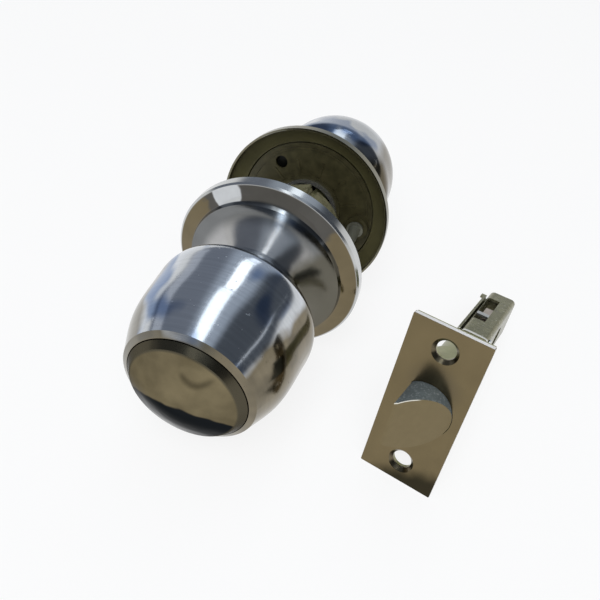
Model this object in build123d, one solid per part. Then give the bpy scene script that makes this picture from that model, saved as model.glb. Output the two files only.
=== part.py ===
from build123d import *
from math import atan2, cos, degrees, radians, sin, sqrt
import os

# A round knob lockset as it lies on a table, with its spring latch lying beside it.
# Millimetres. The origin is on the near knob's axis, in the plane where the near rose meets the door.
# +Y runs from the near knob to the far knob, +Z is up and the table is one rose radius below the axis.

# Roses, pressed from sheet steel
rose_radius = 34.0
rose_depth = 4.0
rose_wall = 0.8
rose_edge_round = 0.6
ring_inner_radius = 28.2
ring_lift = 1.7
ring_step = 1.5
ring_step_run = 0.5
rose_cone_height = 13.6
rose_cone_hollow = 2.0
rose_hole_clearance = 0.8

# Knobs, drawn from sheet steel and closed by a polished cap
knob_wall = 0.9
knob_seat_width = 2.2
knob_seat_gap = 2.6
knob_shoulder_radius = 20.6
knob_shoulder_height = 5.6
knob_flank_radius = 26.6
knob_flank_height = 12.8
knob_belly_radius = 27.1
knob_belly_height = 21.0
knob_front_radius = 25.6
knob_front_height = 35.8
knob_rim_radius = 21.3
knob_rim_height = 46.8
knob_lip_radius = 19.4
knob_lip_height = 48.0
knob_lip_edge = 1.2
cap_clearance = 0.3
cap_wall = 0.9
cap_edge_proud = 0.2
cap_shoulder_drop = 1.7
cap_shoulder_height = 2.0
cap_shoulder_slope = 0.5
cap_crown_height = 7.4
cap_flank_drop = 1.6
cap_skirt = 5.0

# Knob sleeves, which turn in the mounting plates
sleeve_radius = 12.8
sleeve_wall = 1.2
sleeve_flange_width = 1.6
sleeve_flange_thickness = 1.2
sleeve_tail = 1.4
bearing_clearance = 0.06
ring_groove_depth = 0.6
sleeve_ring_thickness = 1.0
sleeve_ring_reach = 1.9
sleeve_ring_gap = 0.3

# Mounting plates inside the roses
plate_thickness = 0.9
plate_rim_clearance = 0.4
plate_cone_clearance = 0.25
collar_wall = 1.3
collar_height = 4.2
rib_count = 12
rib_width = 1.0
rib_height = 0.35
rib_inner_radius = 14.8
rib_outer_radius = 20.6
rib_angle = 19.0
bead_radius = 24.9
bead_width = 0.8
bead_height = 0.35
screw_circle_radius = 22.0
screw_angle = -3.0
empty_hole_circle = 21.2
empty_hole_angle = 128.0
empty_hole_radius = 2.45
screw_hole_radius = 2.9
screw_pocket_depth = 3.3
screw_pocket_clearance = 0.5
screw_pocket_wall = 0.8

# Fixing posts and machine screws
post_radius = 3.6
post_length = 13.0
post_head_radius = 4.2
post_head_clearance = 0.3
post_head_thickness = 1.0
screw_radius = 2.3
screw_clearance = 0.05
screw_head_radius = 3.2
screw_head_height = 1.6
screw_slot_width = 1.0
screw_slot_depth = 0.8
screw_engagement = 7.0
screw_head_gap = 0.8
screw_collar_radius = 3.3
screw_collar_height = 0.8
screw_collar_gap = 0.8

# Chassis between the roses
chassis_angle = 108.0
drum_radius = 17.2
drum_wall = 1.1
drum_length = 33.1
drum_flange_width = 2.2
drum_flange_thickness = 1.1
drum_window_width = 13.0
drum_window_length = 16.0
drum_window_start = 6.6
bridge_height = 16.1
bridge_width = 19.0
bridge_length = 9.0
bridge_thickness = 1.0
bridge_slot_width = 2.0
bridge_slot_length = 5.0
end_plate_thickness = 1.6
end_plate_recess = 1.9
end_plate_clearance = 0.05
end_hub_wall = 1.6
end_hub_height = 2.4
spindle_radius = 6.0
spindle_wall = 1.1
spindle_inner_end = 17.5
spindle_web = 2.0
spindle_end_gap = 0.4
spindle_outer_reach = 10.5
spindle_slot_width = 2.4
spindle_slot_length = 9.0
retractor_travel = 4.0
retractor_width = 17.0
retractor_thickness = 11.0
retractor_base = 8.2
retractor_top = 15.0
retractor_clearance = 0.4
retractor_slot_clearance = 0.35
retractor_jaw_width = 6.4
retractor_jaw_depth = 2.6
retractor_step_width = 2.2
retractor_spring_radius = 1.9
retractor_spring_wire = 0.5
retractor_spring_turns = 3
retractor_spring_offset = 4.4

# Pose of the far half, which droops on its two loosened screws
far_tilt = 8.7
far_distance = 34.1
far_shift = 0.2

# Latch, drawn with its faceplate in the XZ plane and its barrel along +Y
face_width = 24.6
face_height = 58.0
face_thickness = 1.7
face_corner = 0.4
back_thickness = 1.3
back_inset = 0.4
face_screw_spacing = 43.0
face_screw_radius = 3.1
face_sink_radius = 4.2
face_sink_depth = 1.2
back_screw_radius = 3.3
bolt_radius = 9.3
bolt_flat = 5.6
bolt_reach = 13.8
bolt_tip_width = 0.9
bolt_slope_end = 9.0
bolt_body_length = 9.0
bolt_clearance = 0.06
bolt_travel = 12.0
bolt_slot_depth = 6.0
barrel_wall = 0.8
barrel_length = 40.0
barrel_neck_start = 25.0
barrel_neck_radius = 7.6
barrel_flange_width = 0.7
barrel_flange_clearance = 0.05
plug_length = 6.0
plug_tongue_length = 5.0
plug_tail_clearance = 0.3
case_width = 10.4
case_shift = 0.9
case_height = 16.5
case_wall = 1.0
case_corner = 1.9
latch_length = 83.6
case_window_width = 4.6
case_window_length = 21.5
case_window_end = 6.8
case_window_shift = -1.2
case_bar_width = 2.2
case_bar_thickness = 0.9
case_bar_place = 22.7
case_notch_radius = 4.4
case_notch_place = 20.6
case_flap_gap = 0.4
case_flap_thickness = 0.9
case_flap_end = 4.6
case_flap_start = 0.6
case_flap_drop = 0.5
case_flap_tab = 3.0
case_lip_reach = 1.1
case_lip_length = 2.4
tail_thickness = 1.6
tail_height = 7.0
tail_end_gap = 0.6
tail_hook_height = 13.8
tail_hook_width = 5.2
tail_hook_thickness = 4.0
tail_notch_length = 9.0
tail_notch_depth = 1.8
rivet_radius = 1.2
rivet_head_radius = 2.0
rivet_head_height = 0.6
rivet_spacing = 11.0
bolt_spring_radius = 6.6
bolt_spring_wire = 0.9
bolt_spring_turns = 8
spring_seat_gap = 0.1
latch_yaw = -13.2
latch_right = 63.4
latch_forward = -45.9

# Sizes that follow from the ones above
table_height = -rose_radius
ring_back = rose_depth + ring_lift - rose_wall
plate_face = ring_back + plate_cone_clearance
plate_back = plate_face + plate_thickness
plate_radius = ring_inner_radius - rose_wall - plate_rim_clearance
cone_start = rose_depth + ring_lift + ring_step
knob_seat = rose_cone_height + knob_seat_gap
collar_radius = sleeve_radius + bearing_clearance
sleeve_bore = sleeve_radius - sleeve_wall
sleeve_ring_top = plate_face - sleeve_ring_gap
sleeve_ring_bottom = sleeve_ring_top - sleeve_ring_thickness
sleeve_end = sleeve_ring_bottom - sleeve_tail
drum_start = plate_face
drum_end = drum_start - drum_length
end_plate_low = drum_end + end_plate_recess
end_plate_high = end_plate_low + end_plate_thickness
bolt_bore = bolt_radius + bolt_clearance
barrel_radius = bolt_bore + barrel_wall
flange_radius = barrel_radius + barrel_flange_width
neck_bore = barrel_neck_radius - barrel_wall
plate_stack = face_thickness + back_thickness
barrel_end = plate_stack + barrel_length
bolt_rear = plate_stack + bolt_body_length
plug_start = barrel_end - plug_length
case_start = barrel_end
tail_end = latch_length - case_wall - tail_end_gap - bolt_travel
latch_lean = degrees(atan2(face_height / 2 - case_height / 2, latch_length - face_thickness))
latch_raise = face_thickness * sin(radians(latch_lean))


def section(points):
    return Plane.XZ * make_face(Polyline(*points, close=True))


def turned(points):
    return revolve(section(points), Axis.Z)


def sheet_turned(edges, wall, side):
    strip = offset(Wire(edges), amount=wall, side=side, kind=Kind.INTERSECTION)
    return revolve(Plane.XZ * make_face(strip), Axis.Z)


def disc(radius, low, high):
    return turned([(0, low), (radius, low), (radius, high), (0, high)])


def tube(outer, inner, low, high):
    return turned([(inner, low), (outer, low), (outer, high), (inner, high)])


def block(low, high):
    size = [b - a for a, b in zip(low, high)]
    middle = [(a + b) / 2 for a, b in zip(low, high)]
    return Pos(*middle) * Box(*size)


def polar(radius, angle):
    return (radius * cos(radians(angle)), radius * sin(radians(angle)))


def near_place():
    # The near half is drawn with its knob along local +Z, which points to -Y
    return Location(Plane(origin=(0, 0, 0), x_dir=(1, 0, 0), z_dir=(0, -1, 0)))


def far_height():
    # The far rose stands on the table on the edge of its rim
    tilt = radians(far_tilt)
    return table_height + rose_radius * cos(tilt) + rose_depth * sin(tilt)


def far_place():
    tilt = radians(far_tilt)
    out = (0, cos(tilt), -sin(tilt))
    return Location(Plane(origin=(far_shift, far_distance, far_height()), x_dir=(1, 0, 0), z_dir=out))


def latch_place():
    # The faceplate stands on its lower rear edge and leans back until the case's end meets the table
    lean = Location((0, 0, face_height / 2))
    return (
        Location((latch_right, latch_forward, table_height + latch_raise), (0, 0, latch_yaw))
        * Location((0, 0, 0), (-latch_lean, 0, 0))
        * lean
    )


def rose():
    edge = rose_edge_round
    rim = Polyline((rose_radius, 0), (rose_radius, rose_depth - edge))
    bend = Line((rose_radius, rose_depth - edge), (rose_radius - edge, rose_depth))
    crease = (ring_inner_radius, rose_depth + ring_lift)
    foot = (ring_inner_radius - ring_step_run, cone_start)
    top = (sleeve_radius + rose_hole_clearance, rose_cone_height)
    middle = (
        (foot[0] + top[0]) / 2 - rose_cone_hollow * 0.5,
        (foot[1] + top[1]) / 2 - rose_cone_hollow * 0.8,
    )
    ring = Line((rose_radius - edge, rose_depth), crease)
    step = Line(crease, foot)
    cone = ThreePointArc(foot, middle, top)
    return sheet_turned([rim.edge(), bend, ring, step, cone], rose_wall, Side.LEFT)


def inset(points, wall, start, end):
    # The points of a curve's parallel, one wall to its left
    moved = []
    last = len(points) - 1
    for n, (x, y) in enumerate(points):
        dx = points[min(n + 1, last)][0] - points[max(n - 1, 0)][0]
        dy = points[min(n + 1, last)][1] - points[max(n - 1, 0)][1]
        if n == 0:
            dx, dy = start
        if n == last:
            dx, dy = end
        size = sqrt(dx**2 + dy**2)
        moved.append((x - wall * dy / size, y + wall * dx / size))
    return moved


def knob_stations():
    return [
        (sleeve_radius + knob_seat_width, knob_seat),
        (knob_shoulder_radius, knob_seat + knob_shoulder_height),
        (knob_flank_radius, knob_seat + knob_flank_height),
        (knob_belly_radius, knob_seat + knob_belly_height),
        (knob_front_radius, knob_seat + knob_front_height),
        (knob_rim_radius, knob_seat + knob_rim_height),
    ]


def knob_shell():
    outer = knob_stations()
    start = (1, 0)
    end = (outer[-1][0] - outer[-2][0], outer[-1][1] - outer[-2][1])
    inner = inset(outer, knob_wall, start, end)
    lip = (knob_lip_radius, knob_seat + knob_lip_height)
    inner_lip = (lip[0], lip[1] - knob_lip_edge)
    outline = [
        Line((sleeve_radius, knob_seat), outer[0]),
        Spline(*outer, tangents=[start, end]),
        Line(outer[-1], lip),
        Line(lip, inner_lip),
        Line(inner_lip, inner[-1]),
        Spline(*reversed(inner), tangents=[(-end[0], -end[1]), (-start[0], -start[1])]),
        Line(inner[0], (sleeve_radius, knob_seat + knob_wall)),
        Line((sleeve_radius, knob_seat + knob_wall), (sleeve_radius, knob_seat)),
    ]
    return revolve(Plane.XZ * make_face(outline), Axis.Z)


def knob_cap():
    radius = knob_lip_radius - cap_clearance
    edge = knob_seat + knob_lip_height + cap_edge_proud
    shoulder = (radius - cap_shoulder_drop, edge + cap_shoulder_height)
    crown = edge + cap_crown_height
    middle = (shoulder[0] * 0.5, crown - cap_flank_drop)
    bend = cap_wall * 0.6
    slope = (-1, cap_shoulder_slope)
    outline = [
        Line((radius - cap_wall, edge - cap_skirt), (radius, edge - cap_skirt)),
        Line((radius, edge - cap_skirt), (radius, edge)),
        Line((radius, edge), shoulder),
        Spline(shoulder, middle, (0, crown), tangents=[slope, (-1, 0)]),
        Line((0, crown), (0, crown - cap_wall)),
        Spline(
            (0, crown - cap_wall),
            (middle[0], middle[1] - cap_wall),
            (shoulder[0] - bend, shoulder[1] - bend),
            tangents=[(1, 0), (-slope[0], -slope[1])],
        ),
        Line((shoulder[0] - bend, shoulder[1] - bend), (radius - cap_wall, edge - cap_wall)),
        Line((radius - cap_wall, edge - cap_wall), (radius - cap_wall, edge - cap_skirt)),
    ]
    return revolve(Plane.XZ * make_face(outline), Axis.Z)


def knob_sleeve():
    flange_low = knob_seat + knob_wall
    flange_high = flange_low + sleeve_flange_thickness
    groove = sleeve_radius - ring_groove_depth
    return turned(
        [
            (sleeve_bore, sleeve_end),
            (sleeve_radius, sleeve_end),
            (sleeve_radius, sleeve_ring_bottom),
            (groove, sleeve_ring_bottom),
            (groove, sleeve_ring_top),
            (sleeve_radius, sleeve_ring_top),
            (sleeve_radius, flange_low),
            (sleeve_radius + sleeve_flange_width, flange_low),
            (sleeve_radius + sleeve_flange_width, flange_high),
            (sleeve_bore, flange_high),
        ]
    )


def sleeve_ring():
    inner = sleeve_radius - ring_groove_depth
    outer = inner + sleeve_ring_reach
    ring = tube(outer, inner, sleeve_ring_bottom, sleeve_ring_top)
    gap = block((0, -1.2, sleeve_ring_bottom - 1), (outer + 1, 1.2, sleeve_ring_top + 1))
    return ring - Rot(0, 0, 45) * gap


def plate_blank():
    outer = collar_radius + collar_wall
    collar_top = plate_back + collar_height
    return turned(
        [
            (collar_radius, plate_face),
            (plate_radius, plate_face),
            (plate_radius, plate_back),
            (outer, plate_back),
            (outer, collar_top),
            (collar_radius, collar_top),
        ]
    )


def screw_angles():
    return [screw_angle, screw_angle + 180]


def plate_holes(radius, circle, angles):
    hole = disc(radius, plate_face - screw_pocket_depth - 1, plate_back + 1)
    return [Pos(*polar(circle, angle)) * hole for angle in angles]


def near_mounting_plate():
    return plate_blank() - plate_holes(post_radius, screw_circle_radius, screw_angles())


def far_mounting_plate():
    # Seen from the door side, so its angles run the other way in the local frame
    plate = plate_blank()
    bead_low = plate_face - bead_height
    bead = tube(bead_radius + bead_width / 2, bead_radius - bead_width / 2, bead_low, plate_face)
    rib = block(
        (rib_inner_radius, -rib_width / 2, plate_face - rib_height),
        (rib_outer_radius, rib_width / 2, plate_face),
    )
    ribs = [Rot(0, 0, -rib_angle - n * 360 / rib_count) * rib for n in range(rib_count)]
    plate = plate + bead + ribs
    inner = screw_head_radius + screw_pocket_clearance
    outer = inner + screw_pocket_wall
    low = plate_face - screw_pocket_depth
    cup = disc(outer, low, plate_face)
    hollow = disc(inner, low + plate_thickness, plate_back + 1)
    for angle in screw_angles():
        place = Pos(*polar(screw_circle_radius, -angle))
        plate = plate + place * cup - place * hollow
    angles = [-angle for angle in screw_angles()]
    empties = [-empty_hole_angle, 180 - empty_hole_angle]
    plate = plate - plate_holes(screw_hole_radius, screw_circle_radius, angles)
    return plate - plate_holes(empty_hole_radius, empty_hole_circle, empties)


def posts():
    # Internally threaded posts, riveted into the near mounting plate
    bore = screw_radius + screw_clearance
    post = tube(post_radius, bore, plate_face - post_length, plate_back)
    head = tube(post_head_radius, bore, plate_face - post_head_thickness, plate_face)
    return [Pos(*polar(screw_circle_radius, angle)) * (post + head) for angle in screw_angles()]


def screw_head_seat():
    # How far along Y the pocket floors of the far plate lie
    tilt = radians(far_tilt)
    middle = Vector(far_place().position)
    floor = plate_face - screw_pocket_depth + plate_thickness
    return middle.Y + floor / cos(tilt) + middle.Z * sin(tilt) / cos(tilt)


def screw_collar_front():
    # How far along Y the collar reaches, clear of the tilted pocket
    face = (far_place() * Pos(screw_circle_radius, 0, plate_face - screw_pocket_depth)).position
    return face.Y - screw_collar_gap


def machine_screws():
    # Loosened screws, each with a collar that keeps it in its plate
    tip = -(plate_face - post_length) - screw_engagement
    seat = screw_head_seat() + screw_head_gap
    length = seat - tip
    shank = disc(screw_radius, -length, 0)
    collar_top = screw_collar_front() - seat
    collar = disc(screw_collar_radius, collar_top - screw_collar_height, collar_top)
    head = turned(
        [
            (0, 0),
            (screw_head_radius, 0),
            (screw_head_radius, screw_head_height * 0.5),
            (screw_head_radius * 0.6, screw_head_height),
            (0, screw_head_height),
        ]
    )
    slot = block(
        (-screw_head_radius - 1, -screw_slot_width / 2, screw_head_height - screw_slot_depth),
        (screw_head_radius + 1, screw_slot_width / 2, screw_head_height + 1),
    )
    screw = shank + collar + head - slot
    along = Location(Plane(origin=(0, seat, 0), x_dir=(1, 0, 0), z_dir=(0, 1, 0)))
    screws = []
    for angle in screw_angles():
        x, z = polar(screw_circle_radius, angle)
        screws.append(Pos(x, 0, z) * along * screw)
    return screws


def chassis_drum():
    # Rolled housing with a window, a flat bridge at its far edge and a slot on each side of the bridge
    inner = drum_radius - drum_wall
    drum = tube(drum_radius, inner, drum_end, drum_start)
    bridge_end = drum_end + bridge_length
    above = block(
        (bridge_height - bridge_thickness, -drum_radius, drum_end - 1),
        (drum_radius + 1, drum_radius, bridge_end),
    )
    half = bridge_width / 2
    bridge = block((bridge_height - bridge_thickness, -half, drum_end), (bridge_height, half, bridge_end))
    slot = block(
        (inner * 0.5, half, drum_end - 1),
        (drum_radius + 1, half + bridge_slot_width, drum_end + bridge_slot_length),
    )
    window_high = drum_start - drum_window_start
    window = block(
        (0, -drum_window_width / 2, window_high - drum_window_length),
        (drum_radius + 1, drum_window_width / 2, window_high),
    )
    flange = tube(drum_radius + drum_flange_width, drum_radius, drum_start - drum_flange_thickness, drum_start)
    bite = disc(post_head_radius + post_head_clearance, drum_start - drum_flange_thickness - 1, drum_start + 1)
    bites = [Pos(*polar(screw_circle_radius, angle)) * bite for angle in screw_angles()]
    housing = Rot(0, 0, chassis_angle) * (drum - above + bridge - slot - mirror(slot, Plane.XZ) - window)
    return housing + (flange - bites)


def chassis_end_plate():
    bore = spindle_radius + bearing_clearance
    outer = drum_radius - drum_wall - end_plate_clearance
    plate = tube(outer, bore, end_plate_low, end_plate_high)
    hub = tube(bore + end_hub_wall, bore, end_plate_high, end_plate_high + end_hub_height)
    flat = block(
        (bridge_height - bridge_thickness - end_plate_clearance, -outer, end_plate_low - 1),
        (outer + 1, outer, end_plate_high + 1),
    )
    return plate + hub - Rot(0, 0, chassis_angle) * flat


def spindle_split():
    # The two spindles meet in the middle of the retractor
    return retractor_middle() - spindle_end_gap / 2


def near_spindle():
    low = spindle_split() + spindle_end_gap
    pipe = tube(spindle_radius, spindle_radius - spindle_wall, low, spindle_inner_end)
    web = tube(sleeve_bore, spindle_radius, spindle_inner_end - spindle_web, spindle_inner_end)
    return pipe + web


def far_spindle():
    low = -(far_distance + plate_back + spindle_outer_reach)
    pipe = tube(spindle_radius, spindle_radius - spindle_wall, low, spindle_split())
    slot = block(
        (-spindle_slot_width / 2, -spindle_radius - 1, low - 1),
        (spindle_slot_width / 2, spindle_radius + 1, low + spindle_slot_length),
    )
    return pipe - slot


def retractor_middle():
    return drum_start - drum_window_start - drum_window_length / 2


def retractor_slide():
    # Slides in the drum towards and away from the window, around the spindle
    middle = retractor_middle()
    low = middle - retractor_thickness / 2
    high = middle + retractor_thickness / 2
    bore = drum_radius - drum_wall - retractor_clearance
    body = block((-retractor_base, -retractor_width / 2, low), (retractor_top, retractor_width / 2, high))
    body = body & disc(bore, low, high) & (Pos(retractor_travel, 0, 0) * disc(bore, low, high))
    half_slot = spindle_radius + retractor_slot_clearance
    slot = SlotOverall(retractor_travel + 2 * half_slot, 2 * half_slot)
    slot_cut = Pos(retractor_travel / 2, 0, low) * extrude(slot, retractor_thickness)
    jaw = block(
        (retractor_top - retractor_jaw_depth, -retractor_jaw_width / 2, low - 1),
        (retractor_top + 1, retractor_jaw_width / 2, middle + retractor_step_width),
    )
    return Rot(0, 0, chassis_angle) * (body - slot_cut - jaw)


def coil(radius, wire, height, turns):
    # A compression spring with its wire ends inside the stated height
    rise = (height - wire) / turns
    path = Pos(0, 0, wire / 2) * Helix(rise, height - wire, radius - wire / 2)
    start = path @ 0
    profile = Plane(origin=start, z_dir=path % 0) * RegularPolygon(wire / 2, 6)
    return sweep(profile, path)


def retractor_springs():
    bore = drum_radius - drum_wall
    reach = retractor_spring_offset + retractor_spring_radius
    seat = sqrt(bore**2 - reach**2)
    height = seat - retractor_base - 2 * spring_seat_gap
    spring = coil(retractor_spring_radius, retractor_spring_wire, height, retractor_spring_turns)
    laid = Rot(0, -90, 0) * spring
    turn = Rot(0, 0, chassis_angle)
    springs = []
    for side in (-1, 1):
        place = Pos(-retractor_base - spring_seat_gap, side * retractor_spring_offset, retractor_middle())
        springs.append(turn * place * laid)
    return springs


def latch_hole_places():
    return [(0, face_screw_spacing / 2), (0, -face_screw_spacing / 2)]


def along_y(radius, low, high):
    return Rot(-90, 0, 0) * disc(radius, low, high)


def bolt_outline(clearance, low, high):
    # A round bar with a flat on its left side
    bar = along_y(bolt_radius + clearance, low, high)
    side = block(
        (-bolt_radius - 2, low - 1, -bolt_radius - 2),
        (-bolt_flat - clearance, high + 1, bolt_radius + 2),
    )
    return bar - side


def latch_faceplate():
    plate = block((-face_width / 2, 0, -face_height / 2), (face_width / 2, face_thickness, face_height / 2))
    plate = fillet(plate.edges().filter_by(Axis.Y), face_corner)
    plate = plate - bolt_outline(0.2, -1, face_thickness + 1)
    slope = (face_sink_radius - face_screw_radius) / face_sink_depth
    sink = turned(
        [
            (0, -1),
            (face_sink_radius + slope, -1),
            (face_screw_radius, face_sink_depth),
            (face_screw_radius, face_thickness + 1),
            (0, face_thickness + 1),
        ]
    )
    for x, z in latch_hole_places():
        plate = plate - Pos(x, 0, z) * Rot(-90, 0, 0) * sink
    return plate


def latch_backplate():
    half_width = face_width / 2 - back_inset
    half_height = face_height / 2 - back_inset
    plate = block(
        (-half_width, face_thickness, -half_height),
        (half_width, plate_stack, half_height),
    )
    plate = plate - along_y(flange_radius + barrel_flange_clearance, 0, plate_stack + 1)
    for x, z in latch_hole_places():
        plate = plate - Pos(x, 0, z) * along_y(back_screw_radius, 0, plate_stack + 1)
    return plate


def latch_barrel():
    # Drawn barrel in two steps, with a flange that the two plates hold between them
    profile = [
        (bolt_bore, face_thickness),
        (flange_radius, face_thickness),
        (flange_radius, plate_stack),
        (barrel_radius, plate_stack),
        (barrel_radius, barrel_neck_start),
        (barrel_neck_radius, barrel_neck_start),
        (barrel_neck_radius, barrel_end),
        (neck_bore, barrel_end),
        (neck_bore, barrel_neck_start - barrel_wall),
        (bolt_bore, barrel_neck_start - barrel_wall),
    ]
    return Rot(-90, 0, 0) * turned(profile)


def latch_bolt():
    nose = bolt_outline(0, -bolt_reach, plate_stack)
    body = along_y(bolt_radius, plate_stack, bolt_rear)
    tip = -bolt_flat + bolt_tip_width
    slope = Polyline(
        (tip, -bolt_reach),
        (bolt_slope_end, 0),
        (bolt_radius + 2, 0),
        (bolt_radius + 2, -bolt_reach - 2),
        (tip, -bolt_reach - 2),
        close=True,
    )
    wedge = Pos(0, 0, -bolt_radius - 2) * extrude(make_face(slope), 2 * bolt_radius + 4)
    slot = block(
        (-tail_thickness / 2, bolt_rear - bolt_slot_depth, -tail_height / 2),
        (tail_thickness / 2, bolt_rear + 1, tail_height / 2),
    )
    return nose + body - wedge - slot - pin_place() * Cylinder(rivet_radius, 3 * bolt_radius)


def bolt_tail():
    half = tail_thickness / 2
    strip = block((-half, bolt_rear - bolt_slot_depth, -tail_height / 2), (half, tail_end, tail_height / 2))
    hook_low = tail_end - tail_hook_width
    hook_half = tail_hook_thickness / 2
    hook = block(
        (-hook_half, hook_low, -tail_hook_height / 2),
        (hook_half, tail_end, tail_hook_height / 2),
    )
    notch = block(
        (-half - 1, hook_low - tail_notch_length, tail_height / 2 - tail_notch_depth),
        (half + 1, hook_low, tail_height / 2 + 1),
    )
    pin_hole = pin_place() * Cylinder(rivet_radius, 4 * half)
    return strip + hook - notch - mirror(notch, Plane.XY) - pin_hole


def pin_place():
    return Pos(0, bolt_rear - bolt_slot_depth / 2, 0) * Rot(0, 90, 0)


def tail_pin():
    reach = sqrt(bolt_radius**2 - rivet_radius**2)
    return pin_place() * Cylinder(rivet_radius, 2 * reach - 0.4)


def end_plug():
    # Cast plug that closes the barrel and carries the case on its tongue
    body = along_y(neck_bore, plug_start, barrel_end)
    tongue_width = case_width / 2 - case_wall
    tongue_height = case_height / 2 - case_wall
    tongue = block(
        (case_shift - tongue_width, barrel_end, -tongue_height),
        (case_shift + tongue_width, barrel_end + plug_tongue_length, tongue_height),
    )
    inner_corner = case_corner - case_wall
    tongue = fillet(tongue.edges().filter_by(Axis.Y), inner_corner)
    gap = plug_tail_clearance
    way = block(
        (-tail_thickness / 2 - gap, plug_start - 1, -tail_height / 2 - gap),
        (tail_thickness / 2 + gap, barrel_end + plug_tongue_length + 1, tail_height / 2 + gap),
    )
    plug = body + tongue - way
    for place in rivet_places():
        plug = plug - place * Cylinder(rivet_radius, case_width)
    return plug


def rivet_places():
    middle = barrel_end + plug_tongue_length / 2
    heights = (rivet_spacing / 2, -rivet_spacing / 2)
    return [Pos(case_shift, middle, height) * Rot(0, 90, 0) for height in heights]


def case_rivets():
    # Flush on the left, under the flap, and headed on the right
    shank = Cylinder(rivet_radius, case_width)
    head = Pos(0, 0, case_width / 2 + rivet_head_height / 2) * Cylinder(rivet_head_radius, rivet_head_height)
    rivet = shank + head
    return [place * rivet for place in rivet_places()]


def case_box(shrink, low, high):
    width = case_width - 2 * shrink
    height = case_height - 2 * shrink
    box = block((case_shift - width / 2, low, -height / 2), (case_shift + width / 2, high, height / 2))
    return fillet(box.edges().filter_by(Axis.Y), case_corner - shrink)


def case_flap():
    # Side sheet that stands off the case's left wall, held by a tab at each end, with a bent lip at the back
    wall = case_shift - case_width / 2
    left = wall - case_flap_gap
    top = case_height / 2 - case_flap_drop
    low = case_start + case_flap_start
    high = latch_length - case_flap_end
    sheet = block((left - case_flap_thickness, low, -top), (left, high, top))
    tab_height = case_height / 2 - case_corner
    first = block((left, low, -tab_height), (wall, low + case_flap_tab, tab_height))
    last = block((left, high - case_flap_tab, -tab_height), (wall, high, tab_height))
    lip = block(
        (left - case_flap_thickness - case_lip_reach, high - case_lip_length, top - case_flap_thickness),
        (left - case_flap_thickness, high, top),
    )
    return sheet + first + last + lip


def latch_case():
    # Folded sheet case with a window in its top and bottom and a round notch in its right side
    shell = case_box(0, case_start, latch_length)
    shell = shell - case_box(case_wall, case_start - 1, latch_length - case_wall)
    window_high = latch_length - case_window_end
    window_low = window_high - case_window_length
    shift = case_window_shift
    window = block(
        (shift - case_window_width / 2, window_low, -case_height),
        (shift + case_window_width / 2, window_high, case_height),
    )
    notch_place = Pos(case_shift + case_width / 2, case_start + case_notch_place, 0)
    notch = notch_place * Rot(0, 90, 0) * Cylinder(case_notch_radius, 2 * case_wall)
    shell = shell - window - notch + case_flap()
    for place in rivet_places():
        shell = shell - place * Cylinder(rivet_radius, 2 * case_width)
    return shell


def case_bar():
    # Flat strips that cross the windows, seen in the photo as a bar between two openings
    middle = latch_length - case_bar_place
    half = case_window_width / 2
    shift = case_window_shift
    top = block(
        (shift - half, middle - case_bar_width / 2, case_height / 2 - case_bar_thickness),
        (shift + half, middle + case_bar_width / 2, case_height / 2),
    )
    return [top, mirror(top, Plane.XY)]


def bolt_spring():
    height = plug_start - bolt_rear - 2 * spring_seat_gap
    spring = coil(bolt_spring_radius, bolt_spring_wire, height, bolt_spring_turns)
    return Pos(0, bolt_rear + spring_seat_gap, 0) * Rot(-90, 0, 0) * spring


def build_parts():
    near = near_place()
    far = far_place()
    latch = latch_place()
    level = Location((0, 0, 0))
    return {
        "near_rose": (near, rose()),
        "near_mounting_plate": (near, near_mounting_plate()),
        "near_knob_shell": (near, knob_shell()),
        "near_knob_cap": (near, knob_cap()),
        "near_knob_sleeve": (near, knob_sleeve()),
        "near_sleeve_ring": (near, sleeve_ring()),
        "near_spindle": (near, near_spindle()),
        "far_spindle": (near, far_spindle()),
        "fixing_posts": (near, posts()),
        "chassis_drum": (near, chassis_drum()),
        "chassis_end_plate": (near, chassis_end_plate()),
        "retractor_slide": (near, retractor_slide()),
        "retractor_springs": (near, retractor_springs()),
        "machine_screws": (level, machine_screws()),
        "far_rose": (far, rose()),
        "far_mounting_plate": (far, far_mounting_plate()),
        "far_knob_shell": (far, knob_shell()),
        "far_knob_cap": (far, knob_cap()),
        "far_knob_sleeve": (far, knob_sleeve()),
        "far_sleeve_ring": (far, sleeve_ring()),
        "latch_faceplate": (latch, latch_faceplate()),
        "latch_backplate": (latch, latch_backplate()),
        "latch_barrel": (latch, latch_barrel()),
        "latch_bolt": (latch, latch_bolt()),
        "bolt_tail": (latch, bolt_tail()),
        "tail_pin": (latch, tail_pin()),
        "bolt_spring": (latch, bolt_spring()),
        "end_plug": (latch, end_plug()),
        "latch_case": (latch, latch_case()),
        "case_bars": (latch, case_bar()),
        "case_rivets": (latch, case_rivets()),
    }


def export_parts():
    os.makedirs("parts", exist_ok=True)
    for name, (place, shape) in build_parts().items():
        solids = shape if isinstance(shape, list) else [shape]
        pieces = [solid for item in solids for solid in item.solids()]
        whole = pieces[0] if len(pieces) == 1 else Compound(pieces)
        export_step(place * whole, f"parts/{name}.step")


if __name__ == "__main__":
    export_parts()
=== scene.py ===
import math

import bpy
from mathutils import Euler, Matrix, Vector


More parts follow.
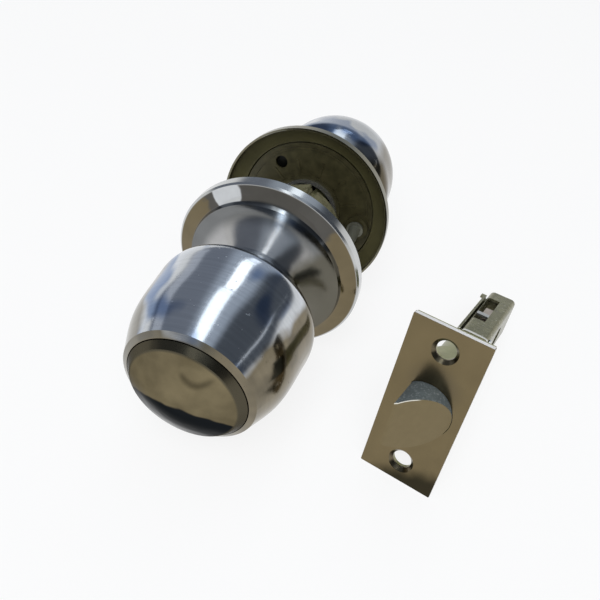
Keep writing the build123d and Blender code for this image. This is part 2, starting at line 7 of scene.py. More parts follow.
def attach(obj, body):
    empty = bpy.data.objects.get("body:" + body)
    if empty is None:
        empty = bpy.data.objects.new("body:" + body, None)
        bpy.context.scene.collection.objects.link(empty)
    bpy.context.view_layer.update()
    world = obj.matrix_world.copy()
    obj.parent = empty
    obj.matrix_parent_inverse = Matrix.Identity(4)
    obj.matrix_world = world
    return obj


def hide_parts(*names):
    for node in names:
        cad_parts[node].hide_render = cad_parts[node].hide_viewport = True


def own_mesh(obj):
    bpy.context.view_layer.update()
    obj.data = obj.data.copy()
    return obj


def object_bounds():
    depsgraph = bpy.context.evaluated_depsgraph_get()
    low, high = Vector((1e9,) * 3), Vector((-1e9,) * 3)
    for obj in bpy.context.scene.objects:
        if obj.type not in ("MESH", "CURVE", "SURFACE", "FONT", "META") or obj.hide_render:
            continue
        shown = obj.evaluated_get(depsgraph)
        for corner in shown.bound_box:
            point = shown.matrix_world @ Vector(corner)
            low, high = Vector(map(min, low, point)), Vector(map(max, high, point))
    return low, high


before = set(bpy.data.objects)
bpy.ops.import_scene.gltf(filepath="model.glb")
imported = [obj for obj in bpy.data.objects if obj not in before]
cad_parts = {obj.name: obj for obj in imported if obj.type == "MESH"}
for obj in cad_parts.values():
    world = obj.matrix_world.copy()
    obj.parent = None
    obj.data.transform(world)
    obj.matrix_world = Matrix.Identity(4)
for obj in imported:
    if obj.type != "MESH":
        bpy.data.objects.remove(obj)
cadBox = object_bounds()
nodes = dict(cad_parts)
print("frame loaded,", len(nodes), "nodes")

mm = 0.001

# where each group of pieces was drawn: its origin in mm, its turn in degrees
# near and far have +Z from the door out to the knob, latch has +Y from the faceplate back to the case
groups = {
    "near": {"place": (0, 0, 0), "turn": (90, 0, 0)},
    "far": {"place": (0.2, 34.1, 0.214), "turn": (-98.7, 0, 0)},
    "latch": {"place": (65.026, -38.966, -5.471), "turn": (-14.217, 0, -13.2)},
}


class Num:
    # wraps one socket, so that shader maths reads as plain sums
    def __init__(self, graph, socket):
        self.graph = graph
        self.socket = socket

    def join(self, operation, first, second):
        return self.graph.add("ShaderNodeMath", {"operation": operation}, {0: first, 1: second})

    def __add__(self, other):
        return self.join("ADD", self, other)

    def __radd__(self, other):
        return self.join("ADD", other, self)

    def __sub__(self, other):
        return self.join("SUBTRACT", self, other)

    def __rsub__(self, other):
        return self.join("SUBTRACT", other, self)

    def __mul__(self, other):
        return self.join("MULTIPLY", self, other)

    def __rmul__(self, other):
        return self.join("MULTIPLY", other, self)


class Graph:
    # one node tree: add() makes every node, the rest are short forms of it
    def __init__(self, tree):
        self.tree = tree
        self.tree.nodes.clear()

    def add(self, kind, settings, sockets, output=0):
        node = self.tree.nodes.new(kind)
        for key, value in settings.items():
            setattr(node, key, value)
        for key, value in sockets.items():
            if isinstance(value, Num):
                self.tree.links.new(value.socket, node.inputs[key])
            elif node.inputs[key].type == "RGBA":
                node.inputs[key].default_value = (*value, 1)
            else:
                node.inputs[key].default_value = value
        return Num(self, node.outputs[output]) if node.outputs else node

    def part(self, vector, axis):
        return self.add("ShaderNodeSeparateXYZ", {}, {0: vector}, axis)

    def vector(self, x, y, z):
        return self.add("ShaderNodeCombineXYZ", {}, {0: x, 1: y, 2: z})

    def length(self, x, y):
        flat = self.vector(x, y, 0.0)
        return self.add("ShaderNodeVectorMath", {"operation": "LENGTH"}, {0: flat}, "Value")

    def step(self, value, low, high, start=0.0, end=1.0):
        sockets = {0: value, 1: low, 2: high, 3: start, 4: end}
        return self.add("ShaderNodeMapRange", {"interpolation_type": "SMOOTHSTEP"}, sockets)

    def band(self, value, low, high, soft):
        rising = self.step(value, low - soft, low + soft)
        falling = self.step(value, high - soft, high + soft, 1.0, 0.0)
        return rising * falling

    def mix(self, factor, first, second):
        return self.add("ShaderNodeMix", {"data_type": "RGBA"}, {0: factor, 6: first, 7: second}, 2)

    def shade(self, colour, factor):
        # a colour times a number
        settings = {"data_type": "RGBA", "blend_type": "MULTIPLY"}
        grey = self.vector(factor, factor, factor)
        return self.add("ShaderNodeMix", settings, {0: 1.0, 6: colour, 7: grey}, 2)

    def noise(self, vector, scale, detail=2.0):
        sockets = {"Vector": vector, "Scale": scale, "Detail": detail}
        return self.add("ShaderNodeTexNoise", {}, sockets)

    def lines(self, value, scale, detail=2.0):
        # changes along one direction only, so it draws lines across it
        sockets = {"W": value, "Scale": scale, "Detail": detail}
        return self.add("ShaderNodeTexNoise", {"noise_dimensions": "1D"}, sockets)


class Finish(Graph):
    # one material, with its position in mm in the group's own axes
    def __init__(self, name, group):
        self.material = bpy.data.materials.new(name)
        self.material.use_nodes = True
        super().__init__(self.material.node_tree)
        where = groups[group]
        local = self.add("ShaderNodeMapping", {"vector_type": "TEXTURE"}, {
            "Vector": self.add("ShaderNodeTexCoord", {}, {}, "Object"),
            "Location": [v * mm for v in where["place"]],
            "Rotation": [math.radians(v) for v in where["turn"]],
        })
        sockets = {"Vector": local, "Scale": 1 / mm}
        self.spot = self.add("ShaderNodeVectorMath", {"operation": "SCALE"}, sockets)
        self.x, self.y, self.z = [self.part(self.spot, axis) for axis in "XYZ"]

    def facing(self, axis, turn=(0, 0, 0)):
        # share of the surface normal along one axis, the axes turned by so many degrees
        normal = self.add("ShaderNodeMapping", {"vector_type": "TEXTURE"}, {
            "Vector": self.add("ShaderNodeTexCoord", {}, {}, "Normal"),
            "Rotation": [math.radians(v) for v in turn],
        })
        return self.part(normal, axis)

    def bump(self, height, depth):
        # height from 0 to 1 over a depth in mm
        return self.add("ShaderNodeBump", {}, {"Height": height, "Distance": depth * mm})

    def surface(self, colour, rough, normal, metal=1.0, tint=(1, 1, 1)):
        # tint is the colour of metal seen along its surface
        shader = self.add("ShaderNodeBsdfPrincipled", {}, {
            "Base Color": colour, "Roughness": rough, "Metallic": metal,
            "Normal": normal, "Specular Tint": tint})
        return self.close(shader)

    def close(self, shader):
        self.add("ShaderNodeOutputMaterial", {}, {"Surface": shader})
        return self.material


def dress(node, material):
    piece = nodes[node]
    piece.data.materials.clear()
    piece.data.materials.append(material)


# springs: made again as coils in place of the CAD springs, attached to the chassis
# each coil starts at its fixed end and runs toward the moving part, in the group's own axes, mm
retractorTurn = math.radians(108)
springs = {
    "retractor_springs": {
        "name": "retractor_coils",
        "group": "near",
        "starts": [Matrix.Rotation(retractorTurn, 3, "Z") @ Vector((-14.716, side * 4.4, -9.45))
                   for side in (-1, 1)],
        "toward": (math.cos(retractorTurn), math.sin(retractorTurn), 0),
        "radius": 1.9, "wire": 0.5, "length": 6.416, "turns": 3,
        "joint": "retractor_slide", "travel": 4.0,
    },
    "bolt_spring": {
        "name": "bolt_coil",
        "group": "latch",
        "starts": [Vector((0, 36.9, 0))],
        "toward": (0, -1, 0),
        "radius": 6.6, "wire": 0.9, "length": 24.8, "turns": 8,
        "joint": "bolt_slide", "travel": 12.0,
    },
}


def groupMatrix(group):
    place = Vector(groups[group]["place"]) * mm
    turn = Euler([math.radians(v) for v in groups[group]["turn"]])
    return Matrix.Translation(place) @ turn.to_matrix().to_4x4()


def coil(values, start):
    wire = values["wire"] * mm
    bpy.ops.object.select_all(action="DESELECT")
    bpy.ops.mesh.primitive_circle_add(
        vertices=10, radius=wire / 2, location=(values["radius"] * mm - wire / 2, 0, wire / 2),
        rotation=(math.radians(90), 0, 0))
    piece = bpy.context.object
    bpy.ops.object.transform_apply(location=True, rotation=True, scale=True)
    turns = piece.modifiers.new("turns", "SCREW")
    turns.angle = math.tau * values["turns"]
    turns.screw_offset = values["length"] * mm - wire
    turns.steps = turns.render_steps = 24 * values["turns"]
    bpy.ops.object.modifier_apply(modifier="turns")
    bpy.ops.object.mode_set(mode="EDIT")
    bpy.ops.mesh.select_all(action="SELECT")
    bpy.ops.mesh.fill_holes(sides=10)
    bpy.ops.mesh.normals_make_consistent(inside=False)
    bpy.ops.object.mode_set(mode="OBJECT")
    bpy.ops.object.shade_smooth()
    along = Vector(values["toward"]).to_track_quat("Z", "Y").to_matrix().to_4x4()
    piece.matrix_world = groupMatrix(values["group"]) @ Matrix.Translation(start * mm) @ along
    bpy.ops.object.transform_apply(location=True, rotation=True, scale=True)
    return piece


for node, values in springs.items():
    coils = [coil(values, start) for start in values["starts"]]
    for piece in coils:
        piece.select_set(True)
    bpy.context.view_layer.objects.active = coils[0]
    if len(coils) > 1:
        bpy.ops.object.join()
    piece = coils[0]
    piece.name = values["name"]
    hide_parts(node)
    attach(piece, "chassis")
    place = groupMatrix(values["group"])
    tuple(place @ (values["starts"][0] * mm))
    1 - values["travel"] / values["length"]
    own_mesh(piece)
    nodes[node] = piece
print("springs made")

# which way each half's own y points in the room, up or down
rises = {"near": 1.0, "far": -1.0}

# knob barrels: turned steel, brushed round the axis, painted tan where they face down as a painted
# reflection of the floor, with painted blue sky reflections above, and the far barrel painted darker as
# painted shade
barrelLook = {
    "steel": (0.62, 0.65, 0.69),
    "blue": (0.13, 0.21, 0.38),
    # tan, tanLeft and dark: colours of the painted floor reflection and its dark blotches
    "tan": (0.215, 0.185, 0.130),
    "tanLeft": (0.20, 0.180, 0.135),
    "dark": (0.060, 0.056, 0.045),
    "floorReflectionBelow": {"near": (0.50, 0.60), "far": (0.58, 0.76)},  # share of the normal that points up
    # how much of the painted floor reflection is laid over the steel
    # on the left side, and what the right side has more
    "floorReflectionShare": {"near": (0.85, 0.15), "far": (0.42, 0.58)},
    "leftMore": 0.12,  # how much further up the tan reaches on the left
    "lipFrom": 64.1,  # mm along the axis, where the front edge starts
    # the blue patches are painted reflections of the sky
    "skyReflectionShare": (0.47, 0.61),  # of the noise, where the blue patches start and are full
    "skyReflectionMost": 0.85,
    "darkReflectionMost": 0.42,  # how strong the dark blotches in the tan are
    "groove": 0.0040,  # depth of the brushing, mm
    "dent": 0.025,  # how far the polish waves, mm
    # level: the far barrel painted darker than the near one, a painted shade
    "level": {"near": 1.0, "far": 0.62},
}


def barrelFinish(group):
    finish = Finish("barrel_" + group, group)
    fine = finish.lines(finish.z, 8.0)
    broad = finish.lines(finish.z, 0.9, 3.0)
    wave = finish.noise(finish.spot, 0.085, 2.0)
    # blue patches of painted sky reflection
    spread = finish.vector(finish.x * 1.3, finish.y * 1.3, finish.z * 0.7 + 31.0)
    reflectedPatch = finish.noise(spread, 0.075, 1.0)
    blue = finish.step(reflectedPatch, *barrelLook["skyReflectionShare"])
    # painted reflection of the floor: tan where the normal points down, reaching further up on the left, a
    # different tan on each side, with painted dark blotches in it
    left = finish.step(finish.facing("X"), -0.55, -0.15, 1.0, 0.0)
    up = finish.facing("Z") + 0.25 * (wave - 0.5) - barrelLook["leftMore"] * left
    sky = finish.step(up, *barrelLook["floorReflectionBelow"][group])
    right = finish.step(finish.facing("X"), -0.3, 0.3)
    low = finish.mix(right, barrelLook["tanLeft"], barrelLook["tan"])
    blotch = finish.step(wave, 0.46, 0.64) * barrelLook["darkReflectionMost"]
    low = finish.mix(blotch, low, barrelLook["dark"])
    colour = finish.mix(blue * barrelLook["skyReflectionMost"], barrelLook["steel"], barrelLook["blue"])
    base, more = barrelLook["floorReflectionShare"][group]
    share = base + more * finish.step(finish.facing("X"), -0.6, -0.1)
    low = finish.mix(share, barrelLook["steel"], low)
    colour = finish.mix(sky, low, colour)
    # the front edge painted in the tan of the floor reflection
    lip = finish.step(finish.z, barrelLook["lipFrom"] - 0.2, barrelLook["lipFrom"] + 0.2)
    colour = finish.mix(lip * 0.9, colour, barrelLook["tan"])
    # the brushing lines vary the tone; the far barrel's lower level is painted shade
    colour = finish.shade(colour, (0.82 + 0.14 * fine + 0.20 * broad) * barrelLook["level"][group])
    speck = finish.step(finish.noise(finish.spot, 0.9, 0.0), 0.80, 0.84)
    rough = 0.075 + 0.06 * fine + 0.05 * broad + 0.25 * speck
    waved = finish.bump(wave, barrelLook["dent"])
    normal = finish.add("ShaderNodeBump", {}, {
        "Height": fine, "Distance": barrelLook["groove"] * mm, "Normal": waved})
    return finish.surface(colour, rough, normal)


# end caps: mirror steel painted tan as a reflection of the floor, with painted dark reflections on the
# rolled edge, on the lower part and in a crescent
capLook = {
    # tan: painted reflection of the floor; dark, low and the crescent: painted dark reflections
    "tan": (0.170, 0.140, 0.082),
    "dark": (0.085, 0.075, 0.052),
    "low": (0.012, 0.014, 0.016),
    "sheen": (0.5, 0.5, 0.5),
    "edge": 17.0,  # mm from the axis, where the rolled edge starts
    "lowLine": 0.6,  # mm above the axis, where the dark lower part ends
    "lowBend": 0.022,
    "hollow": (5.5, 14.0),  # middle of the dark crescent, mm
}


def capFinish(group):
    finish = Finish("cap_" + group, group)
    radius = finish.length(finish.x, finish.y)
    broad = finish.noise(finish.spot, 0.11, 2.0)
    fine = finish.noise(finish.spot, 0.9, 4.0)
    edge = finish.step(radius, capLook["edge"] - 0.5, capLook["edge"] + 0.3)
    across = finish.x + 2.0
    rise = finish.y * rises[group]
    height = rise + capLook["lowBend"] * across * across + 3.0 * (broad - 0.5)
    low = finish.step(height, capLook["lowLine"] - 0.5, capLook["lowLine"] + 0.5, 1.0, 0.0)
    hollow = finish.length(finish.x - capLook["hollow"][0], rise - capLook["hollow"][1])
    hollow = finish.band(hollow, 3.4, 5.2, 0.9) * finish.step(rise, 11.0, 13.5, 1.0, 0.0)
    # the tan, its mottling and the dark crescent are painted reflection
    colour = finish.shade(capLook["tan"], 0.40 + 1.05 * broad + 0.15 * fine - 0.5 * hollow)
    # the lower part painted near black, a painted reflection of the shaded floor below
    colour = finish.mix(low, colour, capLook["low"])
    # the rolled edge painted dark, a painted reflection
    colour = finish.mix(edge, colour, capLook["dark"])
    normal = finish.bump(broad, 0.25)
    return finish.surface(colour, 0.05 + 0.05 * fine + 0.20 * edge, normal, 1.0, capLook["sheen"])


# roses: polished rim and ring, satin cone, olive on the side that meets the door; the ring's tan, dark top
# and bright patch and the cone's dark outer part and dark lower side are painted reflection, the cone's
# streak a painted highlight
roseLook = {
    # rim: the far rim painted darker than the near one, a painted shade
    "rim": {"near": (0.62, 0.63, 0.63), "far": (0.20, 0.19, 0.14)},
    # ring: tan, a painted reflection of the floor; ringTop: a painted dark reflection on the ring's top;
    # ringReflectedPatch: a painted reflection of a window
    "ring": (0.185, 0.150, 0.090),
    "ringTop": (0.100, 0.096, 0.088),
    "ringReflectedPatch": (0.62, 0.64, 0.66),
    "cone": (0.42, 0.42, 0.42),
    # coneOuter and coneLow: the cone painted darker, painted reflection; streak: a painted highlight
    "coneOuter": (0.175, 0.180, 0.182),
    "streakHighlight": (0.72, 0.76, 0.80),
    "streakHighlightWay": (0.978, -0.208),  # across the bright streak
    "coneLow": (0.125, 0.118, 0.095),
    "coneLine": (0.45, 0.25),  # lean and height of the line where the cone turns dark
    "inside": (0.085, 0.077, 0.034),
    # painted near-black shade where the inside lies behind the mounting plate
    "shadeBehindPlate": (0.006, 0.006, 0.005),  # behind the mounting plate
    "flare": 2.6,  # how much more the outer cone leans, mm over its width
    "reflectedPatch": (-15.2, 27.2, 5.6),  # middle and half width of the bright patch on the ring, mm
    "ringEdge": 28.3,
    "rimEdge": 33.2,
}


def roseFinish(group):
    finish = Finish("rose_" + group, group)
    radius = finish.length(finish.x, finish.y)
    rings = finish.lines(radius, 7.0)
    cloud = finish.noise(finish.spot, 0.12, 3.0)
    up = finish.facing("Z") + 0.2 * (cloud - 0.5)
    cone = finish.step(radius, roseLook["ringEdge"] - 0.3, roseLook["ringEdge"] + 0.1, 1.0, 0.0)
    rim = finish.step(radius, roseLook["rimEdge"] - 0.2, roseLook["rimEdge"] + 0.3)
    lean, line = roseLook["coneLine"]
    rise = finish.y * rises[group]
    high = rise - lean * finish.x - line * radius + 5.0 * (cloud - 0.5)
    # the outer cone painted darker, with a painted highlight streak on it
    outer = finish.step(radius, 19.5, 24.5)
    coneColour = finish.mix(outer, roseLook["cone"], roseLook["coneOuter"])
    beside = roseLook["streakHighlightWay"][0] * finish.x + roseLook["streakHighlightWay"][1] * rise
    streakHighlight = finish.band(beside, -1.3, 1.1, 1.4) * finish.step(rise, 0.0, 8.0) * outer
    coneColour = finish.mix(streakHighlight * 0.85, coneColour, roseLook["streakHighlight"])
    # the cone painted dark below a slanted line, a painted reflection
    coneColour = finish.mix(finish.step(high, -3.0, 4.0), roseLook["coneLow"], coneColour)
    # the ring painted tan below and dark on top, painted reflections
    ringColour = finish.mix(finish.step(up, 0.19, 0.23), roseLook["ring"], roseLook["ringTop"])
    # a bright patch on the ring, a painted reflection of a window
    across, along, half = roseLook["reflectedPatch"]
    reflectedPatch = finish.length(finish.x - across, rise - along) + 3.0 * (cloud - 0.5)
    reflectedPatch = finish.step(reflectedPatch, half - 0.4, half + 0.4, 1.0, 0.0)
    ringColour = finish.mix(reflectedPatch, ringColour, roseLook["ringReflectedPatch"])
    # the far rim painted darker, a painted shade
    edgeColour = finish.mix(rim, ringColour, roseLook["rim"][group])
    colour = finish.mix(cone, edgeColour, coneColour)
    colour = finish.shade(colour, 0.70 + 0.30 * rings * cone + 0.40 * cloud)
    out = finish.facing("Z", groups[group]["turn"])
    inside = finish.step(out, -0.12, 0.0, 1.0, 0.0) * finish.step(radius, 33.0, 33.5, 1.0, 0.0)
    colour = finish.mix(inside, colour, finish.shade(roseLook["inside"], 0.7 + 0.6 * cloud))
    # painted near-black shade behind the mounting plate
    shadeBehindPlate = inside * finish.step(radius, 25.5, 26.0, 1.0, 0.0)
    colour = finish.mix(shadeBehindPlate, colour, roseLook["shadeBehindPlate"])
    rough = 0.07 + 0.09 * cone + 0.10 * rim + 0.24 * inside + 0.06 * (cloud - 0.5)
    flare = finish.bump(finish.step(radius, 16.0, 30.0, 1.0, 0.0), roseLook["flare"])
    normal = finish.add("ShaderNodeBump", {}, {
        "Height": rings * cone, "Distance": 0.006 * mm, "Normal": flare})
    return finish.surface(colour, rough, normal, 1.0 - 0.7 * inside)


# plain plated and bare pieces: a colour, how rough, how blotchy, how metallic
plainLooks = {
    "plate": {"colour": (0.36, 0.35, 0.19), "rough": 0.34, "blotch": 0.4, "metal": 0.4},
    "olive": {"colour": (0.32, 0.30, 0.18), "rough": 0.28, "blotch": 0.5, "metal": 0.6},
    "cast": {"colour": (0.080, 0.074, 0.030), "rough": 0.36, "blotch": 0.8, "metal": 0.3},
    # the cast colour painted darker, a painted shade for the far plate
    "castShaded": {"colour": (0.054, 0.048, 0.022), "rough": 0.36, "blotch": 0.9, "metal": 0.3},
    "screw": {"colour": (0.21, 0.21, 0.17), "rough": 0.30, "blotch": 0.4, "metal": 0.6},
    "bright": {"colour": (0.52, 0.52, 0.50), "rough": 0.24, "blotch": 0.3, "metal": 0.9},
    "spring": {"colour": (0.42, 0.42, 0.42), "rough": 0.28, "blotch": 0.3, "metal": 1.0},
    "tail": {"colour": (0.46, 0.39, 0.33), "rough": 0.30, "blotch": 0.5, "metal": 0.8},
}


def plainFinish(look, group):
    values = plainLooks[look]
    finish = Finish(look + "_" + group, group)
    cloud = finish.noise(finish.spot, 0.35, 4.0)
    grain = finish.noise(finish.spot, 6.0)
    level = 1.0 + values["blotch"] * 1.6 * (cloud - 0.5) + 0.2 * (grain - 0.5)
    colour = finish.shade(values["colour"], level)
    rough = values["rough"] + 0.16 * (cloud - 0.5)
    return finish.surface(colour, rough, finish.bump(grain, 0.006), values["metal"])


# faceplate: satin steel painted tan as a reflection of the floor, with fine scratches along it, painted
# dark reflections of the bolt and along its foot, and a painted highlight on its outer edges
faceLook = {
    # tan: painted reflection of the floor; worn: the scratches
    "tan": (0.175, 0.137, 0.074),
    "worn": (0.26, 0.215, 0.14),
    # cloud: painted dark reflection of the bolt
    "cloud": (0.085, 0.074, 0.055),
    # edge: painted highlight on the outer edges; sink: the countersinks in a darker tan, the same painted
    # floor reflection as the face
    "edge": (0.86, 0.83, 0.80),
    "sink": (0.150, 0.125, 0.080),
    # foot: painted dark reflection along the bottom
    "foot": (0.022, 0.020, 0.012),
    "sideFrom": (148.8, 151.0),  # square of the distance from the middle line, mm
    "endFrom": (838.0, 841.0),  # square of the distance along it, mm
}


def faceFinish():
    finish = Finish("faceplate", "latch")
    long = finish.noise(finish.vector(finish.x * 9.0, finish.y, finish.z * 0.35), 1.0, 3.0)
    slanted = finish.vector(finish.x * 14.0 + finish.z * 5.0, finish.y, finish.z * 0.4)
    scratch = finish.noise(slanted, 1.0, 1.0)
    cloud = finish.noise(finish.spot, 0.09, 3.0)
    worn = finish.step(scratch, 0.70, 0.76) * 0.4
    colour = finish.mix(worn, faceLook["tan"], faceLook["worn"])
    # a painted dark reflection of the bolt, above it
    over = finish.step(finish.length(finish.x - 1.0, (finish.z - 9.5) * 1.2), 4.0, 10.5, 1.0, 0.0)
    colour = finish.mix(over * 0.4, colour, faceLook["cloud"])
    # the foot painted near black, a painted dark reflection
    foot = finish.step(finish.z - 0.45 * finish.x + 8.0 * (cloud - 0.5), -29.5, -22.5, 1.0, 0.0)
    colour = finish.mix(foot * 0.9, colour, faceLook["foot"])
    colour = finish.shade(colour, 0.78 + 0.10 * long + 0.38 * cloud)
    # the outer edges painted near white as a painted highlight, the countersinks a darker painted tan
    behind = finish.step(finish.y, 0.05, 0.20)
    side = finish.step(finish.x * finish.x, *faceLook["sideFrom"])
    end = finish.step(finish.z * finish.z, *faceLook["endFrom"])
    outer = finish.step(side + end, 0.0, 1.0)
    colour = finish.mix(behind, colour, finish.mix(outer, faceLook["sink"], faceLook["edge"]))
    rough = 0.24 + 0.10 * (long - 0.5)
    return finish.surface(colour, rough, finish.bump(long, 0.002), 1.0 - 0.75 * behind * outer)


# bolt: the slope polished and painted tan as a reflection, with a painted highlight along its upper edge,
# the sides bare grey casting
boltLook = {
    # slope: painted tan reflection; side and bright: the grey casting and its mottling
    "slope": (0.195, 0.155, 0.085),
    "side": (0.165, 0.190, 0.190),
    "bright": (0.45, 0.48, 0.48),
    # ridge: painted highlight along the slope's upper edge
    "ridgeHighlight": (0.80, 0.78, 0.70),
    "ridgeHighlightFrom": 8.85,  # mm from the bolt's axis
}


def boltFinish():
    finish = Finish("bolt", "latch")
    back = finish.facing("Y", groups["latch"]["turn"])
    slope = finish.step(back, -0.55, -0.35, 1.0, 0.0)
    cloud = finish.noise(finish.spot, 0.45, 4.0)
    spots = finish.step(finish.noise(finish.spot, 1.4, 2.0), 0.52, 0.72)
    side = finish.mix(spots * 0.6, boltLook["side"], boltLook["bright"])
    colour = finish.mix(slope, side, boltLook["slope"])
    level = (0.72 + 0.55 * cloud) * (1.0 - slope) + (0.88 + 0.20 * cloud) * slope
    colour = finish.shade(colour, level)
    radius = finish.length(finish.x, finish.z)
    # a painted highlight along the upper edge of the slope
    ridgeHighlight = finish.step(radius, boltLook["ridgeHighlightFrom"], boltLook["ridgeHighlightFrom"] + 0.25)
    ridgeHighlight = ridgeHighlight * slope * finish.step(finish.y, -10.0, -8.5, 1.0, 0.0) * finish.step(finish.z, 3.0, 5.0)
    colour = finish.mix(ridgeHighlight, colour, boltLook["ridgeHighlight"])
    rough = 0.34 - 0.12 * slope + 0.14 * (cloud - 0.5)
    return finish.surface(colour, rough, finish.bump(spots * (1.0 - slope), 0.012), 0.35 + 0.65 * slope)


# case of the latch: plated olive with bright flecks of wear, and a painted highlight along its front top
# edge
caseLook = {
    "olive": (0.200, 0.190, 0.110),
    # worn: colour of the wear flecks and of the painted highlight on the front edge
    "worn": (0.70, 0.68, 0.62),
    "front": 43.0,  # mm from the faceplate's front
}


def caseFinish():
    finish = Finish("case", "latch")
    cloud = finish.noise(finish.spot, 0.35, 4.0)
    fleck = finish.step(finish.noise(finish.spot, 1.1, 3.0), 0.60, 0.70)
    along = finish.y + 1.2 * (cloud - 0.5)
    front = finish.step(along, caseLook["front"] + 0.9, caseLook["front"] + 1.5, 1.0, 0.0)
    colour = finish.shade(caseLook["olive"], 0.45 + 1.1 * cloud)
    colour = finish.mix(fleck * 0.35, colour, caseLook["worn"])
    # a painted highlight along the front edge of the top
    colour = finish.mix(front * finish.step(finish.facing("Z"), 0.5, 0.7), colour, caseLook["worn"])
    rough = 0.26 + 0.14 * (cloud - 0.5)
    return finish.surface(colour, rough, finish.bump(cloud, 0.05), 0.7 - 0.5 * front)


for group in ("near", "far"):
    barrel = barrelFinish(group)
    dress(group + "_knob_shell", barrel)
    dress(group + "_knob_sleeve", plainFinish("bright", group))
    dress(group + "_knob_cap", capFinish(group))
    dress(group + "_rose", roseFinish(group))
    dress(group + "_spindle", plainFinish("plate", group))
nearPlate = plainFinish("plate", "near")
for node in ("near_mounting_plate", "fixing_posts", "near_sleeve_ring"):
    dress(node, nearPlate)
dress("retractor_springs", plainFinish("spring", "near"))
# the far plate and ring in the cast colour painted darker, a painted shade
farCast = plainFinish("castShaded", "far")
for node in ("far_mounting_plate", "far_sleeve_ring"):
    dress(node, farCast)
dress("machine_screws", plainFinish("screw", "far"))
olive = plainFinish("olive", "near")
for node in ("chassis_drum", "chassis_end_plate"):
    dress(node, olive)
dress("retractor_slide", plainFinish("cast", "near"))
print("finishes on the two halves")

dress("latch_faceplate", faceFinish())
dress("latch_bolt", boltFinish())
caseOlive = caseFinish()
for node in ("latch_case", "end_plug"):
    dress(node, caseOlive)
latchPlate = plainFinish("plate", "latch")
for node in ("latch_backplate", "latch_barrel"):
    dress(node, latchPlate)
latchBright = plainFinish("bright", "latch")
for node in ("case_bars", "case_rivets"):
    dress(node, latchBright)
dress("bolt_tail", plainFinish("tail", "latch"))
latchSpring = plainFinish("spring", "latch")
for node in ("tail_pin", "bolt_spring"):
    dress(node, latchSpring)
print("finishes on the latch")

# floor: white, with the shadow kept
floorLook = {
    "size": 40.0,
    "colour": (0.86, 0.86, 0.86),
    "glow": 0.84,  # share of plain white seen by the camera and in the metal
}

bpy.ops.object.select_all(action="DESELECT")
bpy.ops.mesh.primitive_plane_add(size=floorLook["size"], location=(0, 0, cadBox[0][2] - 0.0001))
floor = bpy.context.object
floor.name = "floor"
white = Finish("floor_white", "near")
seen = sum(white.add("ShaderNodeLightPath", {}, {}, name) for name in
           ("Is Camera Ray", "Is Glossy Ray", "Is Transmission Ray"))
matt = white.add("ShaderNodeBsdfDiffuse", {}, {"Color": floorLook["colour"]})
glow = white.add("ShaderNodeEmission", {}, {"Color": (1, 1, 1), "Strength": 1.0})
share = white.step(seen, 0.0, 1.0) * floorLook["glow"]
floor.data.materials.append(white.close(white.add("ShaderNodeMixShader", {}, {0: share, 1: matt, 2: glow})))

# world: a pale wall at floor level, above it a dim room, darker on the right
worldLook = {
    "wall": (0.86, 0.86, 0.85),
    "left": (0.18, 0.20, 0.24),
    "overhead": (0.38, 0.43, 0.50),
    "right": (0.075, 0.085, 0.100),
    "wallTop": (0.12, 0.26),  # share of the direction that points up
    "overheadFrom": (-0.40, -0.22),
    "rightFrom": (0.26, 0.44),
}
world = bpy.data.worlds.new("studio")
bpy.context.scene.world = world
world.use_nodes = True
room = Graph(world.node_tree)
way = room.add("ShaderNodeTexCoord", {}, {}, "Generated")
across = room.part(way, "X")
side = room.mix(room.step(across, *worldLook["overheadFrom"]), worldLook["left"], worldLook["overhead"])
side = room.mix(room.step(across, *worldLook["rightFrom"]), side, worldLook["right"])
wall = room.mix(room.step(room.part(way, "Z"), *worldLook["wallTop"]), worldLook["wall"], side)
room.add("ShaderNodeOutputWorld", {}, {"Surface": room.add("ShaderNodeBackground", {}, {"Color": wall})})

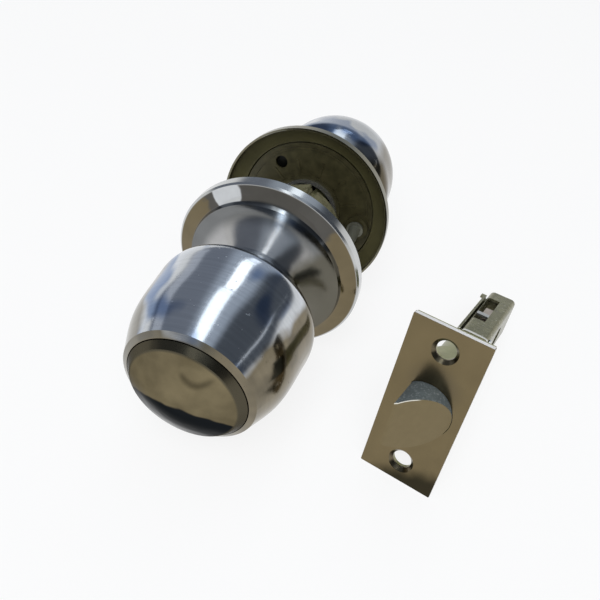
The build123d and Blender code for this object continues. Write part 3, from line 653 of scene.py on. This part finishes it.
# lamps: radiance is what a mirror shows of the lamp, where 1 is white
# shown is whether the metal mirrors it
lamps = {
    "pane1": {"place": (-0.06, -1.80, 1.15), "turn": (0, 0, 0), "size": (0.20, 2.4),
              "radiance": 1.5, "colour": (0.93, 0.97, 1.0), "shown": True},
    "pane2": {"place": (-0.06, 0.13, 1.15), "turn": (0, 0, 0), "size": (0.34, 1.02),
              "radiance": 1.5, "colour": (0.90, 0.96, 1.0), "shown": True},
    "pane3": {"place": (-0.02, 0.80, 1.15), "turn": (0, 0, 0), "size": (0.30, 0.22),
              "radiance": 2.2, "colour": (0.93, 0.97, 1.0), "shown": True},
    "pane4": {"place": (0.02, 1.06, 1.15), "turn": (0, 0, 0), "size": (0.34, 0.20),
              "radiance": 1.5, "colour": (0.90, 0.96, 1.0), "shown": True},
    "pane5": {"place": (0.06, 1.62, 1.15), "turn": (0, 0, 0), "size": (0.30, 0.70),
              "radiance": 1.3, "colour": (0.90, 0.96, 1.0), "shown": True},
    "thin": {"place": (1.20, 0.30, 0.62), "turn": (0, 63, 0), "size": (0.05, 1.2),
             "radiance": 0.7, "colour": (0.92, 0.96, 1.0), "shown": True},
    "left": {"place": (-1.10, 0.55, 0.50), "turn": (0, -63, 0), "size": (0.3, 1.2),
             "radiance": 0.30, "colour": (0.92, 0.95, 1.0), "shown": True},
    "soft": {"place": (0.25, -1.00, 1.40), "turn": (35, 8, 0), "size": (1.4, 1.2),
             "radiance": 4.0, "colour": (1.0, 1.0, 1.0), "shown": False},
}

for name, values in lamps.items():
    light = bpy.data.lights.new(name, "AREA")
    light.shape = "RECTANGLE"
    light.size, light.size_y = values["size"]
    light.color = values["colour"]
    light.energy = values["radiance"] * light.size * light.size_y * math.pi
    lamp = bpy.data.objects.new(name, light)
    bpy.context.scene.collection.objects.link(lamp)
    turn = Euler([math.radians(v) for v in values["turn"]]).to_matrix().to_4x4()
    lamp.matrix_world = Matrix.Translation(Vector(values["place"])) @ turn
    lamp.visible_glossy = values["shown"]
print("floor, world and lamps set")

# camera: worked out from the outlines in the photograph, place in mm
cameraLook = {
    "place": (58.80, -165.71, 141.91),
    "right": (0.93697, 0.33931, 0.08338),
    "up": (-0.28708, 0.61155, 0.73729),
    "back": (0.19917, -0.71476, 0.67041),
    "lens": 37.56,
}
lens = bpy.data.cameras.new("camera")
lens.sensor_fit = "HORIZONTAL"
lens.sensor_width = 36.0
lens.lens = cameraLook["lens"]
lens.clip_start = 0.01
camera = bpy.data.objects.new("camera", lens)
bpy.context.scene.collection.objects.link(camera)
axes = Matrix([cameraLook[name] for name in ("right", "up", "back")]).transposed().to_4x4()
camera.matrix_world = Matrix.Translation(Vector(cameraLook["place"]) * mm) @ axes
bpy.context.scene.camera = camera
bpy.context.scene.view_settings.view_transform = "Standard"
print("camera set")
